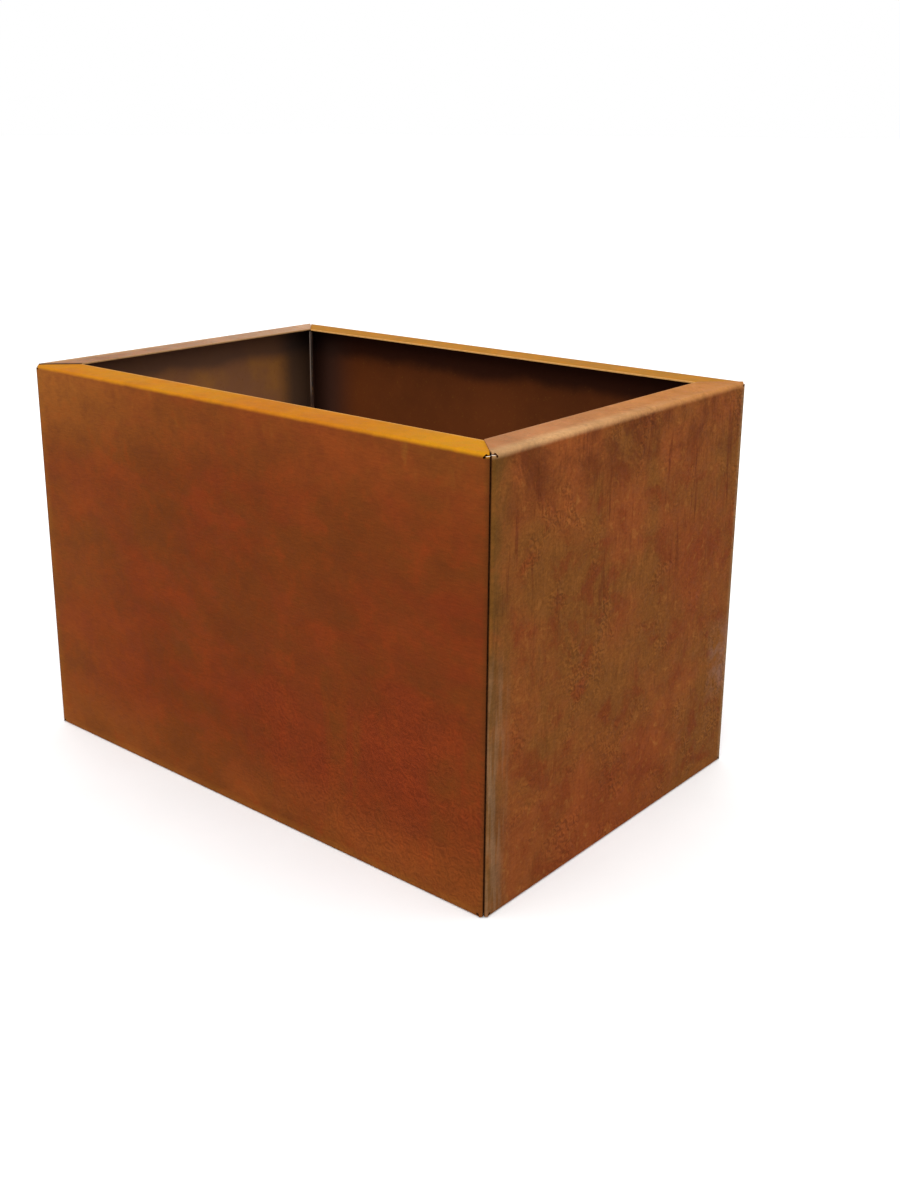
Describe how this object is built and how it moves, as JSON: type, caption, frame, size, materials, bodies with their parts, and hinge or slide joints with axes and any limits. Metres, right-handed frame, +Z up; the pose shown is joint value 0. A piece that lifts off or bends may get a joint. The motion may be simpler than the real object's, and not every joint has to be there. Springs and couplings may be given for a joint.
{
  "type": "planter box",
  "caption": "Rectangular open-topped planter of folded rusted steel panels with a mitred rim, bolted at the corners, with a drained base plate.",
  "frame": {"origin": "on the floor under the middle of the planter", "axes": "+X along the long side, +Y towards the back, +Z up"},
  "size_m": [0.6, 0.4, 0.4],
  "materials": {
    "rusted_steel_front": "matte",
    "rusted_steel_side": "matte",
    "rusted_steel_base": "matte",
    "stainless_fasteners": "satin"
  },
  "bodies": {
    "root": {"front_panel": "rusted_steel_front", "back_panel": "rusted_steel_front", "right_panel": "rusted_steel_side", "left_panel": "rusted_steel_side", "base_plate": "rusted_steel_base", "bolt_front_right_bottom": "stainless_fasteners", "bolt_front_right_middle": "stainless_fasteners", "bolt_front_right_top": "stainless_fasteners", "bolt_back_right_bottom": "stainless_fasteners", "bolt_back_right_middle": "stainless_fasteners", "bolt_back_right_top": "stainless_fasteners", "bolt_back_left_bottom": "stainless_fasteners", "bolt_back_left_middle": "stainless_fasteners", "bolt_back_left_top": "stainless_fasteners", "bolt_front_left_bottom": "stainless_fasteners", "bolt_front_left_middle": "stainless_fasteners", "bolt_front_left_top": "stainless_fasteners", "head_washer_front_right_bottom": "stainless_fasteners", "head_washer_front_right_middle": "stainless_fasteners", "head_washer_front_right_top": "stainless_fasteners", "head_washer_back_right_bottom": "stainless_fasteners", "head_washer_back_right_middle": "stainless_fasteners", "head_washer_back_right_top": "stainless_fasteners", "head_washer_back_left_bottom": "stainless_fasteners", "head_washer_back_left_middle": "stainless_fasteners", "head_washer_back_left_top": "stainless_fasteners", "head_washer_front_left_bottom": "stainless_fasteners", "head_washer_front_left_middle": "stainless_fasteners", "head_washer_front_left_top": "stainless_fasteners", "nut_washer_front_right_bottom": "stainless_fasteners", "nut_washer_front_right_middle": "stainless_fasteners", "nut_washer_front_right_top": "stainless_fasteners", "nut_washer_back_right_bottom": "stainless_fasteners", "nut_washer_back_right_middle": "stainless_fasteners", "nut_washer_back_right_top": "stainless_fasteners", "nut_washer_back_left_bottom": "stainless_fasteners", "nut_washer_back_left_middle": "stainless_fasteners", "nut_washer_back_left_top": "stainless_fasteners", "nut_washer_front_left_bottom": "stainless_fasteners", "nut_washer_front_left_middle": "stainless_fasteners", "nut_washer_front_left_top": "stainless_fasteners", "nut_front_right_bottom": "stainless_fasteners", "nut_front_right_middle": "stainless_fasteners", "nut_front_right_top": "stainless_fasteners", "nut_back_right_bottom": "stainless_fasteners", "nut_back_right_middle": "stainless_fasteners", "nut_back_right_top": "stainless_fasteners", "nut_back_left_bottom": "stainless_fasteners", "nut_back_left_middle": "stainless_fasteners", "nut_back_left_top": "stainless_fasteners", "nut_front_left_bottom": "stainless_fasteners", "nut_front_left_middle": "stainless_fasteners", "nut_front_left_top": "stainless_fasteners"}
  },
  "joints": []
}
